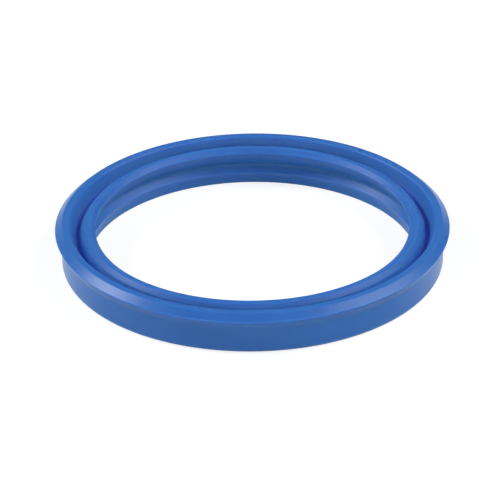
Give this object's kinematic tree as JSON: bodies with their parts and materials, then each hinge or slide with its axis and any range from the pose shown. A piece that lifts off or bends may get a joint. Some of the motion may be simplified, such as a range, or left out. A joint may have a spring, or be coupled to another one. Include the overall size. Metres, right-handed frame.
{
  "type": "u cup seal",
  "caption": "U-section hydraulic seal ring with two flared sealing lips, a groove between them, a solid heel and a support edge in the bore.",
  "frame": {"origin": "centre of the ring at the flat back of the heel, which is the face it rests on", "axes": "+Z along the ring's axis, from the heel towards the open side of the lips; X and Y are any two directions square to it"},
  "size_m": [0.0976, 0.0976, 0.0109],
  "materials": {
    "polyurethane": "satin"
  },
  "bodies": {
    "root": {"u_cup_ring": "polyurethane"}
  },
  "joints": []
}
